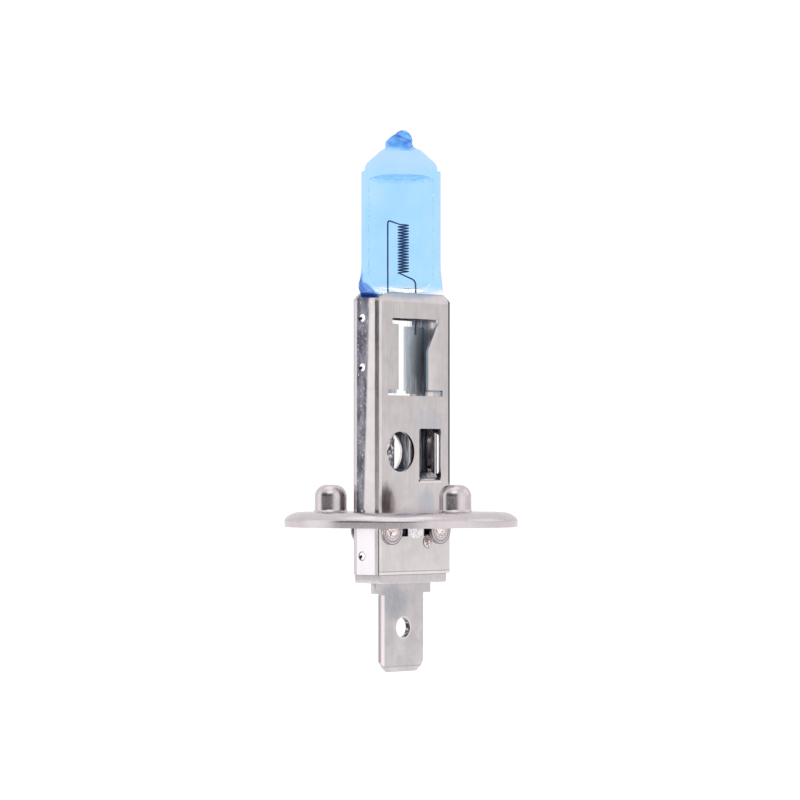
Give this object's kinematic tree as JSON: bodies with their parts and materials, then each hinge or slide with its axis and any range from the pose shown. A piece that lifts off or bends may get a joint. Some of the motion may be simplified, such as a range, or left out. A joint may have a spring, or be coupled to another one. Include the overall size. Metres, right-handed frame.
{
  "type": "headlight bulb",
  "caption": "Single-filament halogen headlight bulb with a flat metal holder, a round three-boss focus flange and a blade terminal.",
  "frame": {"origin": "where the bulb's axis meets the reference plane, which is the plane of the three boss tops of the focus flange", "axes": "+Z along the bulb's axis towards the glass tip, -Y out of the wide face with the round hole, X across the holder's narrow sides"},
  "size_m": [0.029, 0.0268, 0.0676],
  "materials": {
    "quartz": "clear quartz with a light blue coating",
    "tungsten": "dull drawn tungsten wire",
    "molybdenum": "satin foil",
    "lead_wire": "drawn wire",
    "holder_steel": "bright rolled steel with a fine vertical grain",
    "flange_steel": "satin pressed steel",
    "weld": "rough weld metal with a heat tint",
    "ceramic": "matt light grey ceramic",
    "terminal_steel": "tinned, slightly mottled"
  },
  "bodies": {
    "root": {"quartz_envelope": "quartz", "filament": "tungsten", "molybdenum_foil_live": "molybdenum", "molybdenum_foil_ground": "molybdenum", "outer_lead_live": "lead_wire", "outer_lead_ground": "lead_wire", "front_shell": "holder_steel", "rear_shell": "holder_steel", "focus_flange": "flange_steel", "flange_welds": "weld", "lead_welds": "weld", "ceramic_insulator": "ceramic", "terminal_tab": "terminal_steel"}
  },
  "joints": []
}
